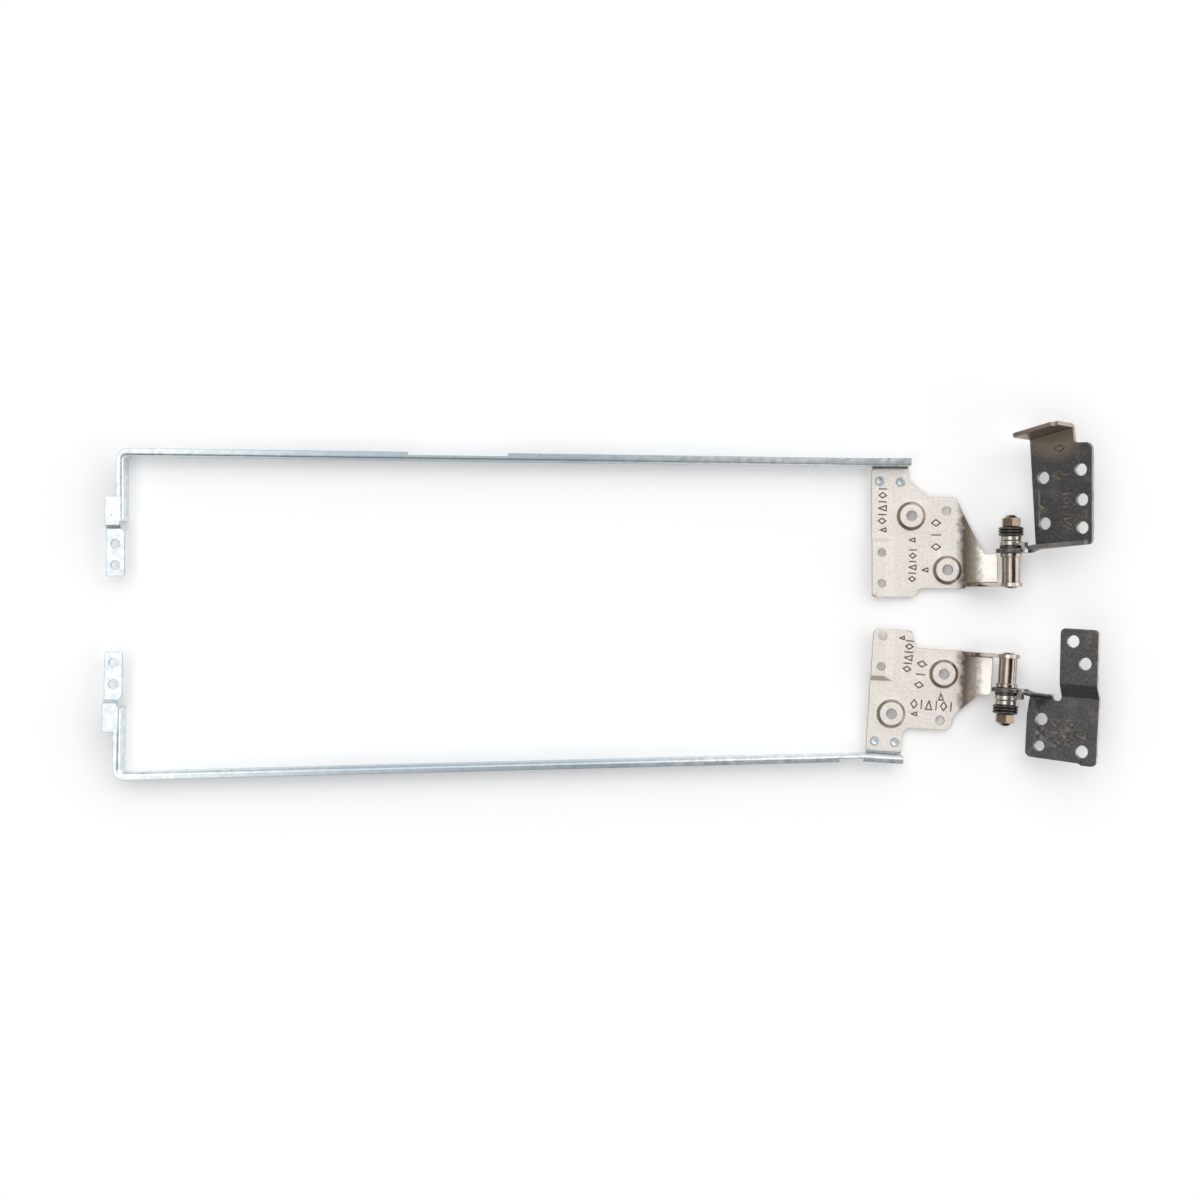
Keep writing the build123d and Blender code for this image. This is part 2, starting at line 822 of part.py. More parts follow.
def cut_holes(hinge, places, diameter):
    """Holes through the bracket's plate and arm, and the ear's running hole."""
    with BuildSketch(bracket_face(hinge, bracket_under)) as holes:
        circles(hinge, places, diameter)
    extrude(holes.sketch, amount=-bracket_under, mode=Mode.SUBTRACT)
    with BuildSketch(across(hinge, ear_start, hinge.lift)) as bore:
        Circle(stem_diameter / 2 + running_clearance)
    extrude(bore.sketch, amount=along(hinge, bracket_sheet), mode=Mode.SUBTRACT)


# Right base bracket, with an upright wall along its far edge
right_lug = ear(right, right_ear)
with BuildPart() as right_base_bracket:
    with BuildSketch(bracket_face(right, bracket_under)):
        outline(right, [
            (right_root, ear_edge(right_ear, right_root), 0),
            (right_width, ear_edge(right_ear, right_width), right_low_corner),
            (right_width, right_length, right_high_corner),
            (right_tail, right_length, right_tail_corner),
            (*wall_end, 0),
            (*wall_start, 0),
        ])
    extrude(amount=bracket_sheet)
    add(right_lug.part)
    fold = bracket_face(right, bracket_under)
    wall_origin = fold.from_local_coords((*wall_start, 0))
    wall_x = fold.from_local_coords((*wall_end, 0)) - wall_origin
    wall_length = wall_x.length
    wall_plane = Plane(origin=wall_origin, x_dir=wall_x, z_dir=wall_x.cross(fold.z_dir))
    full_height = wall_height + bracket_sheet
    with BuildSketch(wall_plane):
        with BuildLine():
            FilletPolyline(
                (0, 0),
                (wall_length, 0),
                (wall_length, full_height - wall_notch_height),
                (wall_length - wall_notch_width, full_height - wall_notch_height),
                (wall_length - wall_notch_width, full_height),
                (0, full_height),
                radius=[0, 0, wall_notch_corner, wall_notch_corner, wall_notch_corner, wall_corner],
                close=True,
            )
        make_face()
    extrude(amount=-bracket_sheet)
    # Rounded bends along the wall and the ear's arm
    bend_under = wall_plane.from_local_coords((wall_length / 2, 0, -bracket_sheet))
    fillet(right_base_bracket.edges().sort_by_distance(bend_under)[0], radius=bracket_bend + bracket_sheet)
    bend_over = wall_plane.from_local_coords((wall_length / 2, bracket_sheet, 0))
    fillet(right_base_bracket.edges().sort_by_distance(bend_over)[0], radius=bracket_bend)
    arm_middle = (right_ear.bend_end + right_ear.end) / 2
    arm_bend_over = fold.from_local_coords(
        (arm_middle, ear_edge(right_ear, arm_middle) + bracket_sheet, bracket_sheet)
    )
    fillet(right_base_bracket.edges().sort_by_distance(arm_bend_over)[0], radius=bracket_bend)
    cut_holes(right, right_holes, screw_hole)

# Left base bracket, with an arm raised on a joggle
left_lug = ear(left, left_ear)
with BuildPart() as left_base_bracket:
    sheet = bracket_face(left, 0)
    edge_plane = Plane(origin=sheet.origin, x_dir=sheet.y_dir * left.sense, z_dir=sheet.x_dir * left.sense)
    with BuildSketch(edge_plane):
        with BuildLine():
            FilletPolyline(
                (left_far_edge, bracket_under),
                (joggle_start, bracket_under),
                (joggle_end, bracket_under + arm_rise),
                (left_arm_end, bracket_under + arm_rise),
                radius=[arm_bend + bracket_sheet, arm_bend],
            )
            offset(amount=bracket_sheet, side=Side.RIGHT)
        make_face()
    extrude(amount=left.sense * (left_width + bracket_sheet))
    with BuildSketch(bracket_face(left, bracket_under)):
        outline(left, [
            (left_root, ear_edge(left_ear, left_root), 0),
            (*left_waist, left_waist_round),
            (*left_near_foot, left_near_round),
            (*left_step, left_step_round),
            (left_step[0] + left_step_run, left_far_edge, left_step_round),
            (left_width, left_far_edge, left_far_round),
            (*left_side, left_side_round),
            (left_arm_outer, left_arm_end, left_arm_round),
            (left_arm_inner, left_arm_end, left_arm_round),
            (*left_throat, left_throat_round),
            (*left_throat_foot, left_throat_round),
            (left_ear_end, left_throat_foot[1], left_throat_round),
            (left_ear_end, ear_edge(left_ear, left_ear_end), 0),
        ])
    extrude(amount=-bracket_under, mode=Mode.INTERSECT)
    add(left_lug.part)
    cut_holes(left, left_holes, screw_hole)
    with BuildSketch(bracket_face(left, bracket_under)):
        circles(left, [left_small_hole], left_small_diameter)
    extrude(amount=-bracket_under, mode=Mode.SUBTRACT)

# Every piece of the pair, labelled and exported
pair = (
    (right, right_plate, right_rail, right_base_bracket),
    (left, left_plate, left_rail, left_base_bracket),
)
for hinge, plate_form, rail_form, bracket in pair:
    pieces = {
        "screen_rail": screen_rail(hinge, plate_form, rail_form),
        "hinge_plate": hinge_plate(hinge, plate_form),
        "shaft": shaft(hinge),
        "base_bracket": bracket,
        "friction_washer": friction_washer(hinge),
        "lug_washer": lug_washer(hinge),
        "thrust_washer": thrust_washer(hinge),
        "lock_nut": lock_nut(hinge),
    }
    for number in range(spring_count):
        pieces[f"spring_washer_{number + 1}"] = spring_washer(hinge, number)
    for name, piece in pieces.items():
        piece.part.label = f"{hinge.side}_{name}"
        export_step(piece.part, f"parts/{hinge.side}_{name}.step")
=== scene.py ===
# %% [markdown]
# # A pair of laptop hinges
# Two friction hinges lie opened on a white table and are seen from straight above. Each one has a zinc-plated
# rail that runs up the side of the screen, a nickel-plated plate that is screwed to the lid, and a
# black-nickel bracket that is screwed to the keyboard half. A turned shaft with a stack of washers joins
# plate and bracket.
# The shapes were drawn in CAD. This lesson adds what makes them look like metal: the finishes, the stamped
# marks, the light and the camera. Blender works in metres, so millimetres are multiplied by MM.

# %% Load the hinges
import json
import math
from collections import namedtuple

import bmesh
import bpy
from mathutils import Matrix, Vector

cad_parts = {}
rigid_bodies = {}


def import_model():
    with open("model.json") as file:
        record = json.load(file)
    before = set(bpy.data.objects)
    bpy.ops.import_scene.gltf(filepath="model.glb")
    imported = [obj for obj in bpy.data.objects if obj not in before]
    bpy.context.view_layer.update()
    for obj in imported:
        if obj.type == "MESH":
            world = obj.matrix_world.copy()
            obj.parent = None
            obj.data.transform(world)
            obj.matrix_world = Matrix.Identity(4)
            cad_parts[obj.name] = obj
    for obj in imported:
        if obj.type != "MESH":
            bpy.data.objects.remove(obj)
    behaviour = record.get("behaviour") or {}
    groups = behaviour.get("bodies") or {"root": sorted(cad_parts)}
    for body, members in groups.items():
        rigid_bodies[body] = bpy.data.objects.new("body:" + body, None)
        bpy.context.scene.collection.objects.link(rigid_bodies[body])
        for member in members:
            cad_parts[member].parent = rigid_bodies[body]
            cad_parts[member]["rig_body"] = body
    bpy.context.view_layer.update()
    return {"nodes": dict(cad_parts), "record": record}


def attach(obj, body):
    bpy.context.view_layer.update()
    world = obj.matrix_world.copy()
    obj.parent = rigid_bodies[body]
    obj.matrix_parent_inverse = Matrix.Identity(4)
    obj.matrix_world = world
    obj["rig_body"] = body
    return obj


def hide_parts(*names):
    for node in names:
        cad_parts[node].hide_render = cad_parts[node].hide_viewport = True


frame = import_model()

MM = 0.001
nodes = frame["nodes"]
for plain_colour in list(bpy.data.materials):
    bpy.data.materials.remove(plain_colour)

# %% [markdown]
# ## Camera
# The photograph was taken from straight above, so the camera hangs over the middle of the picture and needs
# no turning: an untouched camera already looks down with +Y at the top. The field is as wide as the table
# that the picture shows, and the lens follows from that width, the height and the sensor.

# %% Hang the camera over the table
PHOTO_PIXELS = 1200
PIXELS_PER_MM = 3.8
PHOTO_CENTRE = Vector((0.73, 0.74, 0)) * MM
CAMERA_HEIGHT = 500 * MM
SENSOR_WIDTH = 36

field_width = PHOTO_PIXELS / PIXELS_PER_MM * MM
camera_data = bpy.data.cameras.new("overhead_camera")
camera_data.sensor_width = SENSOR_WIDTH
camera_data.lens = SENSOR_WIDTH * CAMERA_HEIGHT / field_width
camera = bpy.data.objects.new("overhead_camera", camera_data)
camera.location = PHOTO_CENTRE + Vector((0, 0, CAMERA_HEIGHT))
bpy.context.scene.collection.objects.link(camera)
bpy.context.scene.camera = camera
print(f"field {field_width / MM:.0f} mm wide, lens {camera_data.lens:.1f} mm")

# %% [markdown]
# ## Helpers for materials
# Colours are picked as sRGB hex values, the way a paint program shows them, and Blender's sockets want linear
# values, so one function turns one into the other. The next adds a node: settings go on the node itself, and
# an input takes a value, the output socket of an earlier node, or that node itself for its first output. Two
# more open and close a metal: one gives the place on the object in millimetres, for patterns of a real size,
# and the other adds the shader, which is fully metallic unless the finish says otherwise.

# %% Colour and node helpers
def linear(hex_colour):
    """Linear RGBA of an sRGB hex colour such as "C8D2D8"."""
    channels = [int(hex_colour[i:i + 2], 16) / 255 for i in (0, 2, 4)]
    return [c / 12.92 if c <= 0.04045 else ((c + 0.055) / 1.055) ** 2.4 for c in channels] + [1.0]


def add(tree, kind, inputs=None, **settings):
    """Adds a node of that kind, with its settings, values and links."""
    node = tree.nodes.new(kind)
    for name, value in settings.items():
        setattr(node, name, value)
    for name, value in (inputs or {}).items():
        if isinstance(value, bpy.types.Node):
            value = value.outputs[0]
        if isinstance(value, bpy.types.NodeSocket):
            tree.links.new(value, node.inputs[name])
        else:
            node.inputs[name].default_value = value
    return node


def start_metal(name):
    """New material, its empty node tree, and the place on the object in millimetres."""
    metal = bpy.data.materials.new(name)
    metal.use_nodes = True
    tree = metal.node_tree
    tree.nodes.clear()
    place = add(tree, "ShaderNodeTexCoord").outputs["Object"]
    per_mm = (1 / MM, 1 / MM, 1 / MM)
    return metal, tree, add(tree, "ShaderNodeVectorMath", {0: place, 1: per_mm}, operation="MULTIPLY")


def finish_metal(tree, sockets):
    """Adds the shader with these sockets, and the material's output."""
    shader = add(tree, "ShaderNodeBsdfPrincipled", {"Metallic": 1.0, **sockets})
    add(tree, "ShaderNodeOutputMaterial", {"Surface": shader})


print("zinc grey C8D2D8 is", [round(c, 3) for c in linear("C8D2D8")], "in linear values")

# %% [markdown]
# ## Edges that catch the light
# A stamped edge is never knife sharp: tumbling and plating round it by a few tenths of a millimetre, and it
# catches a thin line of light. Bevelling every edge of the meshes would cost many faces, so a Bevel node in
# each metal rounds the normals instead. Where the rounded normal leaves the true one there is an edge, so the
# cosine of the angle between the two doubles as a mask for plating worn off the corners.

# %% Mask of the edges
BEVEL_SAMPLES = 4
EDGE_START = 0.995
EDGE_FULL = 0.85


def edge_mask(tree, rounded):
    """1 on an edge, where the rounded normal leaves the true one, and 0 away from it."""
    true = add(tree, "ShaderNodeNewGeometry").outputs["Normal"]
    compared = add(tree, "ShaderNodeVectorMath", {0: rounded, 1: true}, operation="DOT_PRODUCT")
    cosine = compared.outputs["Value"]
    return add(tree, "ShaderNodeMapRange", {"Value": cosine, "From Min": EDGE_START, "From Max": EDGE_FULL})


print(f"an edge starts where the normal turns by {math.degrees(math.acos(EDGE_START)):.0f} degrees")

# %% [markdown]
# ## Zinc-plated steel: the rails
# The rails are folded from thin strip, plated with zinc and passivated. That gives a pale blue-white metal
# with a cloudy spangle, a fine grain, and small dark nicks where the strip was handled. One noise of about
# two millimetres makes the clouds, a finer one the grain, and the rare peaks of a third one the nicks.
# Along the middle of the rail the zinc is painted greyer than at its palest ends, a painted shade.

# %% Zinc-plated steel
CLOUD_MM = 1.8
ZINC_GRAIN_MM = 0.4
NICK_MM = 0.9
PAINTED_SHADE_CENTRE = -35.0
PAINTED_SHADE_CORE = 30.0
PAINTED_SHADE_REACH = 80.0
ZINC_EDGE = 0.3 * MM
GRAIN_HEIGHT = 0.004 * MM

zinc, tree, mm = start_metal("zinc_plated_steel")
cloud = add(tree, "ShaderNodeTexNoise", {"Vector": mm, "Scale": 1 / CLOUD_MM, "Detail": 5.0})
grain = add(tree, "ShaderNodeTexNoise", {"Vector": mm, "Scale": 1 / ZINC_GRAIN_MM})
nick = add(tree, "ShaderNodeTexNoise", {"Vector": mm, "Scale": 1 / NICK_MM, "Detail": 1.0})
nicks = add(tree, "ShaderNodeMapRange", {"Value": nick, "From Min": 0.73, "From Max": 0.80})
clouds = add(tree, "ShaderNodeMapRange", {"Value": cloud, "From Min": 0.35, "From Max": 0.65})
tint = add(tree, "ShaderNodeMixRGB",
           {"Fac": clouds, "Color1": linear("CFD9DF"), "Color2": linear("F1F4F5")})
# Painted shade: the zinc is made greyer along the middle of the rail than at its ends.
along = add(tree, "ShaderNodeSeparateXYZ", {"Vector": mm}).outputs["X"]
off_centre = add(tree, "ShaderNodeMath", {0: along, 1: PAINTED_SHADE_CENTRE}, operation="SUBTRACT")
distance = add(tree, "ShaderNodeMath", {0: off_centre}, operation="ABSOLUTE")
grey = add(tree, "ShaderNodeMapRange",
           {"Value": distance, "From Min": PAINTED_SHADE_REACH, "From Max": PAINTED_SHADE_CORE, "To Max": 0.75})
plated = add(tree, "ShaderNodeMixRGB", {"Fac": grey, "Color1": tint, "Color2": linear("A9B8C1")})
marked = add(tree, "ShaderNodeMixRGB", {"Fac": nicks, "Color1": plated, "Color2": linear("6F7F89")})
rounded = add(tree, "ShaderNodeBevel", {"Radius": ZINC_EDGE}, samples=BEVEL_SAMPLES)
edge = edge_mask(tree, rounded)
worn = add(tree, "ShaderNodeMixRGB", {"Fac": edge, "Color1": marked, "Color2": linear("8797A1")})
rough = add(tree, "ShaderNodeMapRange", {"Value": cloud, "To Min": 0.26, "To Max": 0.42})
bumps = add(tree, "ShaderNodeBump",
            {"Height": grain, "Distance": GRAIN_HEIGHT, "Strength": 0.6, "Normal": rounded})
finish_metal(tree, {"Base Color": worn, "Roughness": rough, "Normal": bumps})
print(zinc.name, len(tree.nodes), "nodes")

# %% [markdown]
# ## Nickel-plated steel: the hinge plates
# The plates are blanked from rolled sheet and plated with nickel, which is warmer than zinc: cream, and so
# satin on the flats that it scatters light almost like paint, which a low metallic value gives. Wherever the
# press drew the sheet up, on the flanks of the bosses and the screw pad and on the ramp, the tool rubbed it
# smooth, so there it is more of a mirror. The flanks are also painted darker, a painted shade, and the bend
# below the ramp is painted dark, a painted reflection. Flanks are told by the way they face, ramp and bend by
# their place along the plate, and a noise makes the bend fade out in blotches.

# %% Nickel-plated steel: where the press rubbed it
BLOTCH_MM = 1.1
BEND_CENTRE = 97.6
BEND_CORE = 0.8
BEND_REACH = 4.2
RAMP_START = 98.6
RAMP_FULL = 101.0

nickel, tree, mm = start_metal("nickel_plated_steel")
facing = add(tree, "ShaderNodeTexCoord").outputs["Normal"]
upward = add(tree, "ShaderNodeSeparateXYZ", {"Vector": facing}).outputs["Z"]
level = add(tree, "ShaderNodeMath", {0: upward}, operation="ABSOLUTE")
flank = add(tree, "ShaderNodeMapRange", {"Value": level, "From Min": 0.93, "From Max": 0.86})
along = add(tree, "ShaderNodeSeparateXYZ", {"Vector": mm}).outputs["X"]
off_centre = add(tree, "ShaderNodeMath", {0: along, 1: BEND_CENTRE}, operation="SUBTRACT")
distance = add(tree, "ShaderNodeMath", {0: off_centre}, operation="ABSOLUTE")
nearness = add(tree, "ShaderNodeMapRange",
               {"Value": distance, "From Min": BEND_REACH, "From Max": BEND_CORE, "To Max": 1.1})
blotch = add(tree, "ShaderNodeTexNoise", {"Vector": mm, "Scale": 1 / BLOTCH_MM, "Detail": 5.0})
patchy = add(tree, "ShaderNodeMath", {0: nearness, 1: blotch}, operation="ADD")
bend = add(tree, "ShaderNodeMapRange", {"Value": patchy, "From Min": 0.75, "From Max": 1.4})
ramp = add(tree, "ShaderNodeMapRange",
           {"Value": along, "From Min": RAMP_START, "From Max": RAMP_FULL, "To Max": 0.65})
pressed = add(tree, "ShaderNodeMath", {0: flank, 1: ramp}, operation="MAXIMUM")
rubbed = add(tree, "ShaderNodeMath", {0: pressed, 1: bend}, operation="MAXIMUM")
print(f"bend at {BEND_CENTRE} mm, ramp from {RAMP_START} mm along the plate")

# %% Nickel-plated steel: colour and shine
SATIN_MM = 0.6
NICKEL_GRAIN_MM = 0.35
NICKEL_EDGE = 0.25 * MM

satin = add(tree, "ShaderNodeTexNoise", {"Vector": mm, "Scale": 1 / SATIN_MM, "Detail": 6.0})
grain = add(tree, "ShaderNodeTexNoise", {"Vector": mm, "Scale": 1 / NICKEL_GRAIN_MM})
patches = add(tree, "ShaderNodeMapRange", {"Value": satin, "From Min": 0.35, "From Max": 0.65})
tint = add(tree, "ShaderNodeMixRGB",
           {"Fac": patches, "Color1": linear("EEE5DC"), "Color2": linear("FBF6F0")})
# Painted shade: the flanks of the bosses and the pad are painted a darker grey-brown.
tint_with_flank_shade = add(tree, "ShaderNodeMixRGB", {"Fac": flank, "Color1": tint, "Color2": linear("AFA396")})
# Painted reflection: the bend below the ramp is painted dark brown in blotches.
bend_dark_reflection = add(tree, "ShaderNodeMixRGB",
             {"Fac": blotch, "Color1": linear("665C52"), "Color2": linear("9C9084")})
tint_with_bend_reflection = add(tree, "ShaderNodeMixRGB", {"Fac": bend, "Color1": tint_with_flank_shade, "Color2": bend_dark_reflection})
rounded = add(tree, "ShaderNodeBevel", {"Radius": NICKEL_EDGE}, samples=BEVEL_SAMPLES)
edge = edge_mask(tree, rounded)
worn = add(tree, "ShaderNodeMixRGB", {"Fac": edge, "Color1": tint_with_bend_reflection, "Color2": linear("9A8D7F")})
shine = add(tree, "ShaderNodeMapRange", {"Value": rubbed, "To Min": 0.35, "To Max": 0.85})
rough = add(tree, "ShaderNodeMapRange", {"Value": rubbed, "To Min": 0.5, "To Max": 0.28})
bumps = add(tree, "ShaderNodeBump",
            {"Height": grain, "Distance": GRAIN_HEIGHT, "Strength": 0.7, "Normal": rounded})
finish_metal(tree, {"Base Color": worn, "Metallic": shine, "Roughness": rough, "Normal": bumps})
print(nickel.name, len(tree.nodes), "nodes")

# %% [markdown]
# ## Black-nickel steel: the base brackets
# Black nickel is a thin dark alloy plating. On these brackets it is a neutral gunmetal grey that turns brown
# where it is thinner, most of all in one soft spot on the right bracket. It is peppered with fine pale specks
# and crossed by hair scratches. The scratches are two noises drawn out 40 to 1 and turned to two directions.

# %% Black-nickel steel: brown, specks and scratches
THIN_SPOT = (115.5, 46.0, 12.0)
THIN_CORE = 7.5
THIN_REACH = 11.0
BROWN_MM = 5.0
SPECK_MM = 0.34
SCRATCH_MM = (0.3, 12.0, 12.0)
SCRATCH_TURNS = (35, -48)

black_nickel, tree, mm = start_metal("black_nickel_steel")
brown = add(tree, "ShaderNodeTexNoise", {"Vector": mm, "Scale": 1 / BROWN_MM, "Detail": 6.0})
speck = add(tree, "ShaderNodeTexNoise", {"Vector": mm, "Scale": 1 / SPECK_MM, "Detail": 2.0})
blush = add(tree, "ShaderNodeMapRange", {"Value": brown, "From Min": 0.55, "From Max": 0.8, "To Max": 0.5})
away = add(tree, "ShaderNodeVectorMath", {0: mm, 1: THIN_SPOT}, operation="DISTANCE").outputs["Value"]
near = add(tree, "ShaderNodeMapRange", {"Value": away, "From Min": THIN_REACH, "From Max": THIN_CORE})
thin = add(tree, "ShaderNodeMath", {0: blush, 1: near}, operation="MAXIMUM")
specks = add(tree, "ShaderNodeMapRange", {"Value": speck, "From Min": 0.48, "From Max": 0.78, "To Max": 0.7})
tint = add(tree, "ShaderNodeMixRGB", {"Fac": thin, "Color1": linear("5E5F62"), "Color2": linear("A09285")})
finish = add(tree, "ShaderNodeMixRGB", {"Fac": specks, "Color1": tint, "Color2": linear("A09890")})
for turn in SCRATCH_TURNS:
    turned = add(tree, "ShaderNodeVectorRotate", {"Vector": mm, "Angle": math.radians(turn)},
                 rotation_type="Z_AXIS")
    drawn_out = add(tree, "ShaderNodeVectorMath", {0: turned, 1: SCRATCH_MM}, operation="DIVIDE")
    hair = add(tree, "ShaderNodeTexNoise", {"Vector": drawn_out, "Scale": 1.0, "Detail": 1.0})
    lines = add(tree, "ShaderNodeMapRange",
                {"Value": hair, "From Min": 0.70, "From Max": 0.80, "To Max": 0.6})
    finish = add(tree, "ShaderNodeMixRGB", {"Fac": lines, "Color1": finish, "Color2": linear("B5AEA5")})
print("scratches turned by", SCRATCH_TURNS, "degrees")

# %% [markdown]
# ## Black-nickel steel: the rubbed edges and a painted highlight
# The brackets' cut edges are rubbed through to beige steel, and the brown noise breaks the rubbing up
# into patches. Edges and cut faces that face right, away from the shaft, are painted beige in full, a
# painted highlight from the light on that side; other edges get less than half of it. Bare steel is
# duller than the plating, so it is less metallic.

# %% Black-nickel steel: edges and shine
BRACKET_EDGE = 0.45 * MM

rounded = add(tree, "ShaderNodeBevel", {"Radius": BRACKET_EDGE}, samples=BEVEL_SAMPLES)
edge = edge_mask(tree, rounded)
on_object = add(tree, "ShaderNodeVectorTransform", {"Vector": rounded}, vector_type="NORMAL",
                convert_from="WORLD", convert_to="OBJECT")
rightward = add(tree, "ShaderNodeSeparateXYZ", {"Vector": on_object}).outputs["X"]
# Painted highlight: edges that face right get the full beige, other edges 0.4 of it.
share = add(tree, "ShaderNodeMapRange",
            {"Value": rightward, "From Min": 0.08, "From Max": 0.3, "To Min": 0.4})
rim_wear_and_highlight = add(tree, "ShaderNodeMath", {0: edge, 1: share}, operation="MULTIPLY")
# Painted highlight: cut faces that face right are painted beige as well.
facing = add(tree, "ShaderNodeTexCoord").outputs["Normal"]
to_right = add(tree, "ShaderNodeSeparateXYZ", {"Vector": facing}).outputs["X"]
right_face_highlight = add(tree, "ShaderNodeMapRange", {"Value": to_right, "From Min": 0.7, "From Max": 0.85})
wear_and_right_highlight = add(tree, "ShaderNodeMath", {0: rim_wear_and_highlight, 1: right_face_highlight}, operation="MAXIMUM")
patchy = add(tree, "ShaderNodeMapRange", {"Value": brown, "From Min": 0.3, "From Max": 0.5, "To Min": 0.35})
rubbed = add(tree, "ShaderNodeMath", {0: wear_and_right_highlight, 1: patchy}, operation="MULTIPLY")
worn = add(tree, "ShaderNodeMixRGB", {"Fac": rubbed, "Color1": finish, "Color2": linear("D8CCBE")})
shine = add(tree, "ShaderNodeMapRange", {"Value": rubbed, "To Min": 1.0, "To Max": 0.35})
rough = add(tree, "ShaderNodeMapRange", {"Value": brown, "To Min": 0.30, "To Max": 0.46})
bumps = add(tree, "ShaderNodeBump",
            {"Height": speck, "Distance": GRAIN_HEIGHT, "Strength": 0.6, "Normal": rounded})
finish_metal(tree, {"Base Color": worn, "Metallic": shine, "Roughness": rough, "Normal": bumps})
print(black_nickel.name, len(tree.nodes), "nodes")

# %% [markdown]
# ## Polished steel: the shafts
# The shafts are turned on a lathe and polished, so they mirror the room in long bands. The tool leaves rings
# round the shaft, here drawn 0.3 mm apart, coarser than the real ones so that they show at all. A wave of
# scale 1 turns by 20 radians in each unit, which gives the scale for a spacing in millimetres. The steel
# itself is a little brown next to the plated sheet.

# %% Polished steel
TURNING_MM = 0.3
WAVE_RADIANS = 20
RING_HEIGHT = 0.002 * MM
HAZE_MM = 2.0
SHAFT_EDGE = 0.12 * MM

polished, tree, mm = start_metal("polished_steel")
wave_scale = math.tau / WAVE_RADIANS / TURNING_MM
rings = add(tree, "ShaderNodeTexWave", {"Vector": mm, "Scale": wave_scale, "Distortion": 0.4},
            bands_direction="Y").outputs["Fac"]
haze = add(tree, "ShaderNodeTexNoise", {"Vector": mm, "Scale": 1 / HAZE_MM, "Detail": 4.0})
tint = add(tree, "ShaderNodeMixRGB", {"Fac": haze, "Color1": linear("9C8E82"), "Color2": linear("C6BBB1")})
rounded = add(tree, "ShaderNodeBevel", {"Radius": SHAFT_EDGE}, samples=BEVEL_SAMPLES)
rough = add(tree, "ShaderNodeMapRange", {"Value": haze, "To Min": 0.10, "To Max": 0.24})
bumps = add(tree, "ShaderNodeBump",
            {"Height": rings, "Distance": RING_HEIGHT, "Strength": 0.4, "Normal": rounded})
finish_metal(tree, {"Base Color": tint, "Roughness": rough, "Normal": bumps})
print(polished.name, len(tree.nodes), "nodes")

# %% [markdown]
# ## Black spring steel: friction and spring washers
# Spring washers are hardened and given a black oxide, a dark skin a few thousandths thick with an oily sheen.
# It is nearly black with a faint brown bloom, and the rims are polished by handling.

# %% Black spring steel
BLOOM_MM = 1.5
SPRING_EDGE = 0.1 * MM

black_oxide, tree, mm = start_metal("black_spring_steel")
bloom = add(tree, "ShaderNodeTexNoise", {"Vector": mm, "Scale": 1 / BLOOM_MM, "Detail": 4.0})
tint = add(tree, "ShaderNodeMixRGB", {"Fac": bloom, "Color1": linear("515256"), "Color2": linear("77716B")})
rounded = add(tree, "ShaderNodeBevel", {"Radius": SPRING_EDGE}, samples=BEVEL_SAMPLES)
edge = edge_mask(tree, rounded)
worn = add(tree, "ShaderNodeMixRGB", {"Fac": edge, "Color1": tint, "Color2": linear("7A736B")})
rough = add(tree, "ShaderNodeMapRange", {"Value": bloom, "To Min": 0.22, "To Max": 0.40})
finish_metal(tree, {"Base Color": worn, "Roughness": rough, "Normal": rounded})
print(black_oxide.name, len(tree.nodes), "nodes")

# %% [markdown]
# ## Bright steel: lug and thrust washers
# These washers are stamped, tumbled bright and rubbed by their neighbours, so they are pale and glossy with
# faint grey patches of grease.

# %% Bright steel
GREASE_MM = 1.8
WASHER_EDGE = 0.12 * MM

bright, tree, mm = start_metal("bright_steel")
grease = add(tree, "ShaderNodeTexNoise", {"Vector": mm, "Scale": 1 / GREASE_MM, "Detail": 4.0})
tint = add(tree, "ShaderNodeMixRGB", {"Fac": grease, "Color1": linear("B3A89D"), "Color2": linear("EAE4DD")})
rounded = add(tree, "ShaderNodeBevel", {"Radius": WASHER_EDGE}, samples=BEVEL_SAMPLES)
rough = add(tree, "ShaderNodeMapRange", {"Value": grease, "To Min": 0.16, "To Max": 0.34})
finish_metal(tree, {"Base Color": tint, "Roughness": rough, "Normal": rounded})
print(bright.name, len(tree.nodes), "nodes")

# %% [markdown]
# ## Nickel-plated nut
# The lock nuts carry a thicker, browner nickel than the plates, scuffed by the spanner: glossy flats with
# bright corners.

# %% Nickel-plated nut
SCUFF_MM = 0.9
NUT_EDGE = 0.15 * MM

nut_nickel, tree, mm = start_metal("nickel_plated_nut")
scuff = add(tree, "ShaderNodeTexNoise", {"Vector": mm, "Scale": 1 / SCUFF_MM, "Detail": 5.0})
tint = add(tree, "ShaderNodeMixRGB", {"Fac": scuff, "Color1": linear("806E60"), "Color2": linear("B7A594")})
rounded = add(tree, "ShaderNodeBevel", {"Radius": NUT_EDGE}, samples=BEVEL_SAMPLES)
edge = edge_mask(tree, rounded)
worn = add(tree, "ShaderNodeMixRGB", {"Fac": edge, "Color1": tint, "Color2": linear("D6CABD")})
rough = add(tree, "ShaderNodeMapRange", {"Value": scuff, "To Min": 0.16, "To Max": 0.30})
finish_metal(tree, {"Base Color": worn, "Roughness": rough, "Normal": rounded})
print(nut_nickel.name, len(tree.nodes), "nodes")

# %% [markdown]
# ## Dress the pieces
# The record names a finish for each piece, so one loop hands the seven materials out.

# %% Give each piece its finish
finishes = {m.name: m for m in (zinc, nickel, black_nickel, polished, black_oxide, bright, nut_nickel)}
finish_of = {part["node"]: part["material_slot"] for part in frame["record"]["subparts"]}
for name, slot in finish_of.items():
    nodes[name].data.materials.clear()
    nodes[name].data.materials.append(finishes[slot])
print({slot: list(finish_of.values()).count(slot) for slot in finishes})

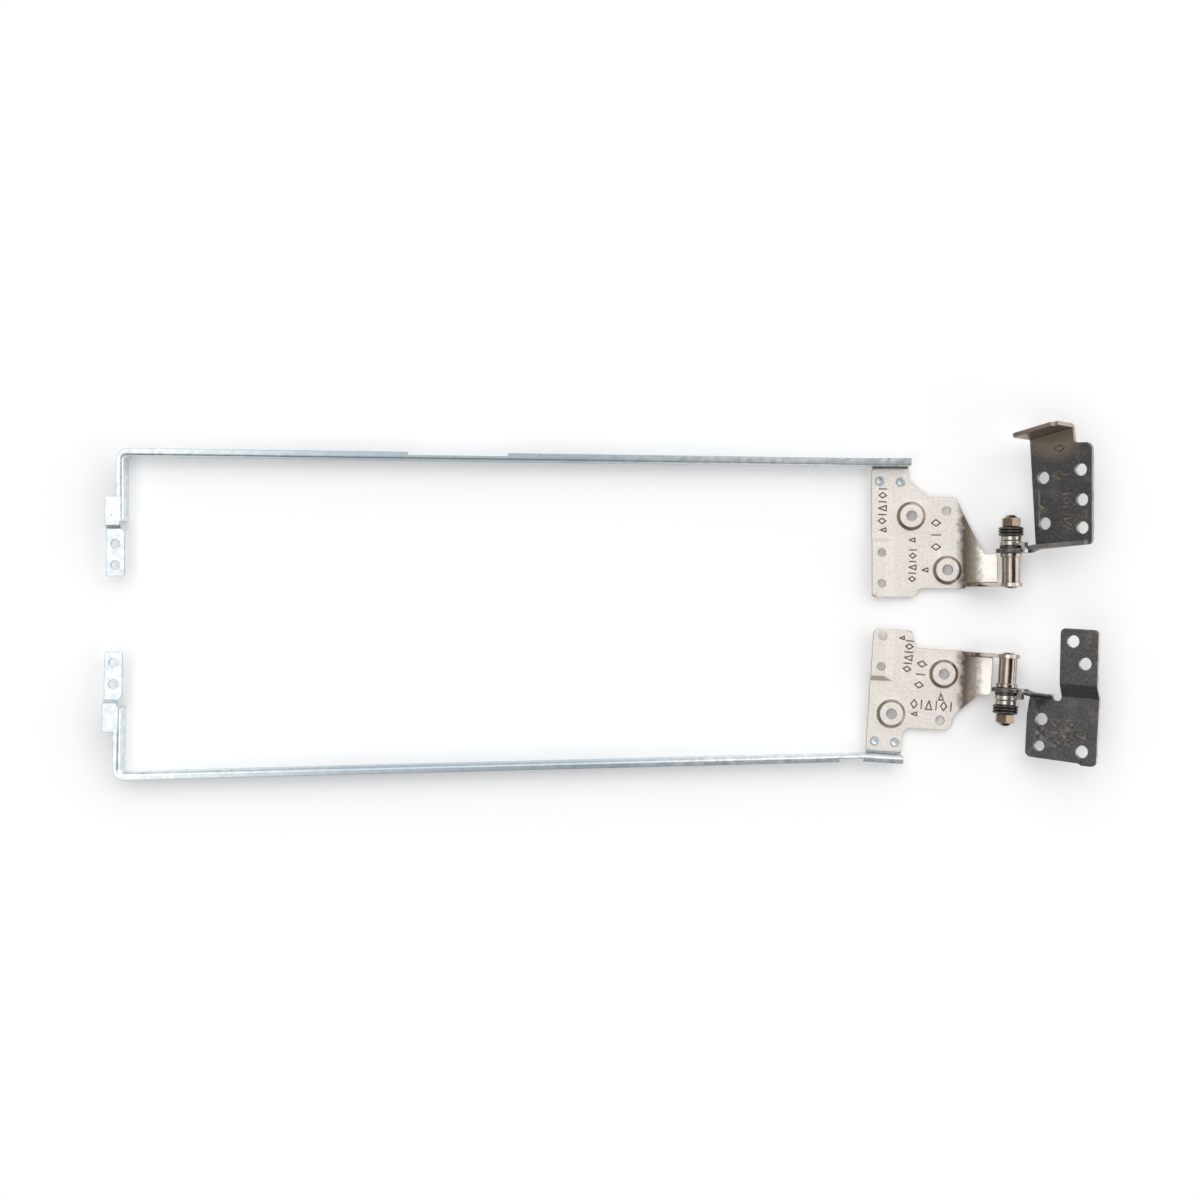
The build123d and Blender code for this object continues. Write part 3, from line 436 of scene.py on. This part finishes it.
# %% [markdown]
# ## Stamped steel: the bottom of a mark
# The press also strikes marks into the plates and brackets with a hard punch. At the bottom of a stroke the
# plating is broken and holds dirt, and its dull dark brown is also a painted shade of the narrow groove,
# lighter where the punch slid.

# %% Stamped steel
DIRT_MM = 0.5

stamped, tree, mm = start_metal("stamped_dirt_and_shade")
dirt = add(tree, "ShaderNodeTexNoise", {"Vector": mm, "Scale": 1 / DIRT_MM, "Detail": 3.0})
# Painted shade: the dark brown of the grooves stands partly for their shade, partly for dirt.
tint = add(tree, "ShaderNodeMixRGB", {"Fac": dirt, "Color1": linear("4F463E"), "Color2": linear("9A8D80")})
rough = add(tree, "ShaderNodeMapRange", {"Value": dirt, "To Min": 0.3, "To Max": 0.5})
finish_metal(tree, {"Base Color": tint, "Roughness": rough})
print(stamped.name, len(tree.nodes), "nodes")

# %% [markdown]
# ## Where the marks stand
# Marks like these tell the assembler which way round a piece goes. Here they are plain shapes, bars, crosses,
# diamonds and triangles, each drawn as chains of points in a box one unit wide and high. A row is told by the
# picture points of its first and last shape. A ray from the camera through such a point lands on the sheet
# itself, so every shape seats on its own patch of metal, sloping or not.

# %% Shapes, rows and their seats
SHAPES = {
    "bar": [[(0, -0.5), (0, 0.5)]],
    "cross": [[(-0.5, -0.5), (0.5, 0.5)], [(-0.5, 0.5), (0.5, -0.5)]],
    "diamond": [[(0, -0.5), (0.5, 0), (0, 0.5), (-0.5, 0), (0, -0.5)]],
    "triangle": [[(-0.5, -0.5), (0.5, -0.5), (0, 0.5), (-0.5, -0.5)]],
}
LONG_ROW = ("diamond", "bar", "triangle", "bar", "diamond", "bar")
SHORT_ROW = ("diamond", "bar", "diamond")
SHAPE_WIDTH = 0.7

Row = namedtuple("Row", "first last shapes height_mm")
rows = {
    "right_hinge_plate": [
        Row((882, 521), (883, 489), LONG_ROW, 2.0), Row((883, 532), (883, 528), ("triangle",), 1.5),
        Row((912, 579), (913, 550), LONG_ROW, 1.8), Row((912, 542), (912, 538), ("triangle",), 1.5),
        Row((936, 547), (936, 523), SHORT_ROW, 2.4), Row((925, 572), (925, 568), ("triangle",), 1.5),
    ],
    "left_hinge_plate": [
        Row((907, 669), (910, 641), LONG_ROW, 2.0), Row((902, 640), (902, 636), ("triangle",), 1.2),
        Row((919, 685), (922, 664), SHORT_ROW, 2.3), Row((939, 697), (943, 697), ("triangle",), 1.7),
        Row((914, 704), (951, 707), LONG_ROW, 2.3), Row((914, 716), (914, 712), ("triangle",), 1.4),
    ],
    "right_base_bracket": [
        Row((1044, 510), (1044, 506), ("cross",), 2.4), Row((1082, 515), (1082, 511), ("triangle",), 2.4),
        Row((1060, 475), (1059, 448), SHORT_ROW, 2.9), Row((1069, 525), (1067, 494), LONG_ROW, 2.3),
    ],
    "left_base_bracket": [
        Row((1086, 647), (1086, 642), ("triangle",), 2.4), Row((1040, 735), (1040, 731), ("cross",), 2.4),
        Row((1056, 743), (1056, 722), SHORT_ROW, 2.4), Row((1070, 743), (1070, 721), LONG_ROW, 2.0),
        Row((1082, 738), (1082, 734), ("triangle",), 2.0),
    ],
}


def seat(node, x, y):
    """Place and normal of the sheet under a point of the picture."""
    middle = PHOTO_PIXELS / 2
    table_point = PHOTO_CENTRE + Vector((x - middle, middle - y, 0)) * (field_width / PHOTO_PIXELS)
    return nodes[node].ray_cast(camera.location, table_point - camera.location)[1:3]


print(sum(len(row.shapes) for listed in rows.values() for row in listed), "shapes on", len(rows), "pieces")

# %% [markdown]
# ## The punch
# A punch leaves a V-shaped groove. Each stroke of a shape becomes a wedge that stands a little out of the
# sheet and reaches a tenth of a millimetre into it.

# %% Wedges for the strokes
STROKE_MM = 0.36
DEPTH_MM = 0.13
PROUD_MM = 0.06


def strike(wedges, start, end, normal):
    """Adds one wedge to the cutter, from start to end on the sheet."""
    along = (end - start).normalized()
    across = normal.cross(along) * STROKE_MM / 2 * MM * (1 + PROUD_MM / DEPTH_MM)
    overlap = along * STROKE_MM / 4 * MM
    ends = []
    for point in (start - overlap, end + overlap):
        top = point + normal * PROUD_MM * MM
        corners = (top - across, top + across, point - normal * DEPTH_MM * MM)
        ends.append([wedges.verts.new(corner) for corner in corners])
    wedges.faces.new(ends[0])
    wedges.faces.new(reversed(ends[1]))
    for i in range(3):
        wedges.faces.new((ends[0][i - 1], ends[0][i], ends[1][i], ends[1][i - 1]))


def strike_row(wedges, node, row):
    """Adds the wedges of one row of shapes."""
    first = seat(node, *row.first)[0]
    last = seat(node, *row.last)[0]
    reading = (last - first).normalized()
    for i, shape in enumerate(row.shapes):
        share = i / (len(row.shapes) - 1) if len(row.shapes) > 1 else 0.5
        middle, normal = seat(node, *[a + (b - a) * share for a, b in zip(row.first, row.last)])
        right = (reading - normal * reading.dot(normal)).normalized()
        up = normal.cross(right)
        for chain in SHAPES[shape]:
            points = [middle + (right * x * SHAPE_WIDTH + up * y) * row.height_mm * MM for x, y in chain]
            for start, end in zip(points, points[1:]):
                strike(wedges, start, end, normal)


print(f"strokes {STROKE_MM} mm wide and {DEPTH_MM} mm deep")

# %% [markdown]
# ## Strike the marks
# The Boolean modifier cuts all wedges of a piece out of a copy of its mesh at once. A bump map would be
# quicker, but it gives no shadow and vanishes from the side. The copy replaces the CAD piece. Its normals are
# weighted by area afterwards, so that the flats stay flat.

# %% Cut the strokes
SHARP_ANGLE = math.radians(30)
SAME_PLACE = 0.001 * MM


def apply_modifiers(piece):
    """Turns what the piece's modifiers make into its mesh."""
    evaluated = piece.evaluated_get(bpy.context.evaluated_depsgraph_get())
    piece.data = bpy.data.meshes.new_from_object(evaluated)
    piece.modifiers.clear()


for node, listed in rows.items():
    wedges = bmesh.new()
    for row in listed:
        strike_row(wedges, node, row)
    bmesh.ops.recalc_face_normals(wedges, faces=wedges.faces)
    punch = bpy.data.objects.new("punch", bpy.data.meshes.new("punch"))
    wedges.to_mesh(punch.data)
    punch.data.materials.append(stamped)
    sheet = bmesh.new()
    sheet.from_mesh(nodes[node].data)
    bmesh.ops.remove_doubles(sheet, verts=sheet.verts, dist=SAME_PLACE)
    piece = bpy.data.objects.new(f"{node}_stamped", bpy.data.meshes.new(f"{node}_stamped"))
    sheet.to_mesh(piece.data)
    piece.data.materials.append(finishes[finish_of[node]])
    piece.data.materials.append(stamped)
    for made in (punch, piece):
        bpy.context.scene.collection.objects.link(made)
    cut = piece.modifiers.new("strike", "BOOLEAN")
    cut.object = punch
    cut.solver = "EXACT"
    cut.use_self = True
    cut.material_mode = "TRANSFER"
    apply_modifiers(piece)
    piece.data.shade_smooth()
    piece.data.set_sharp_from_angle(angle=SHARP_ANGLE)
    piece.modifiers.new("flat_flats", "WEIGHTED_NORMAL").keep_sharp = True
    apply_modifiers(piece)
    bpy.data.objects.remove(punch)
    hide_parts(node)
    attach(piece, nodes[node]["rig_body"])
    print(piece.name, len(piece.data.polygons), "faces, was", len(nodes[node].data.polygons))

# %% [markdown]
# ## Table
# The table is a white sheet, a hair below the hinges so that no faces coincide. Lit as plainly as the object,
# a white sheet comes out light grey, so it gets a little glow of its own for the camera and for reflections.
# It still takes the soft shadow of the hinges.

# %% White table
TABLE_SIZE = 4.0
TABLE_DROP = 0.02 * MM
TABLE_GLOW = 0.1

bpy.ops.mesh.primitive_plane_add(size=TABLE_SIZE, location=(0, 0, -TABLE_DROP))
table = bpy.context.object
table.name = "white_table"
paper = bpy.data.materials.new("white_paper")
paper.use_nodes = True
tree = paper.node_tree
tree.nodes.clear()
ray = add(tree, "ShaderNodeLightPath").outputs
seen = add(tree, "ShaderNodeMath", {0: ray["Is Camera Ray"], 1: ray["Is Glossy Ray"]}, operation="MAXIMUM")
glow_strength = add(tree, "ShaderNodeMath", {0: seen, 1: TABLE_GLOW}, operation="MULTIPLY")
white = add(tree, "ShaderNodeBsdfDiffuse", {"Color": linear("FDFDFD")})
glow = add(tree, "ShaderNodeEmission", {"Strength": glow_strength})
both = add(tree, "ShaderNodeAddShader", {0: white, 1: glow})
add(tree, "ShaderNodeOutputMaterial", {"Surface": both})
table.data.materials.append(paper)
print("table", TABLE_SIZE, "m")

# %% [markdown]
# ## Light
# Small shiny metal is photographed in a tent of white cloth, because metal shows its surroundings and not its
# own colour. The bright shafts give the tent away: across it they mirror white cloth, a black slot where the
# camera looks in, white cloth again, and a dim wall on the left. Bends that face the near side are dark, so
# the wall there is the dimmest. A world whose strength depends on the direction is the whole tent, and it
# needs no lamps. The slot and the left wall are told by their slope from overhead, which is the tangent of
# the angle, and the near and far walls by their reach in Y, which bounds the slot as well. Each pair of
# limits says where the cloth is still clear and where the shade is full.

# %% White tent with a slot for the camera
CLOTH = 1.68
HORIZON = 0.05
SLOT_LEFT = (-0.25, 0.0)
SLOT_RIGHT = (1.2, 0.85)
SLOT_MIDDLE = -0.12
SLOT_REACH = (0.45, 0.2)
LEFT_WALL = (-0.75, -0.95)
NEAR_WALL = (-0.4, -0.75)
FAR_WALL = (0.6, 0.95)
SLOT_LOSS = 0.985
LEFT_LOSS = 0.78
NEAR_LOSS = 0.88
FAR_LOSS = 0.5

tent = bpy.data.worlds.new("white_tent")
tent.use_nodes = True
bpy.context.scene.world = tent
tree = tent.node_tree
tree.nodes.clear()
sky = add(tree, "ShaderNodeTexCoord").outputs["Generated"]
toward = add(tree, "ShaderNodeSeparateXYZ", {"Vector": sky}).outputs
upward = add(tree, "ShaderNodeMath", {0: toward["Z"], 1: HORIZON}, operation="MAXIMUM")
slope = add(tree, "ShaderNodeMath", {0: toward["X"], 1: upward}, operation="DIVIDE")
from_slot = add(tree, "ShaderNodeMath", {0: toward["Y"], 1: SLOT_MIDDLE}, operation="SUBTRACT")
sideways = add(tree, "ShaderNodeMath", {0: from_slot}, operation="ABSOLUTE")
shades = [
    ([(slope, *SLOT_LEFT), (slope, *SLOT_RIGHT), (sideways, *SLOT_REACH)], SLOT_LOSS),
    ([(slope, *LEFT_WALL)], LEFT_LOSS),
    ([(toward["Y"], *NEAR_WALL)], NEAR_LOSS),
    ([(toward["Y"], *FAR_WALL)], FAR_LOSS),
]
cloth = CLOTH
for limits, loss in shades:
    for value, clear, full in limits:
        inside = add(tree, "ShaderNodeMapRange", {"Value": value, "From Min": clear, "From Max": full})
        loss = add(tree, "ShaderNodeMath", {0: inside, 1: loss}, operation="MULTIPLY")
    left = add(tree, "ShaderNodeMath", {0: 1.0, 1: loss}, operation="SUBTRACT")
    cloth = add(tree, "ShaderNodeMath", {0: cloth, 1: left}, operation="MULTIPLY")
ray = add(tree, "ShaderNodeLightPath").outputs
strength = add(tree, "ShaderNodeMapRange", {"Value": ray["Is Camera Ray"], "To Min": cloth, "To Max": 1.0})
backdrop = add(tree, "ShaderNodeBackground", {"Color": linear("FFFFFF"), "Strength": strength})
add(tree, "ShaderNodeOutputWorld", {"Surface": backdrop})
bpy.context.scene.view_settings.view_transform = "Standard"
print(tent.name, len(tree.nodes), "nodes")
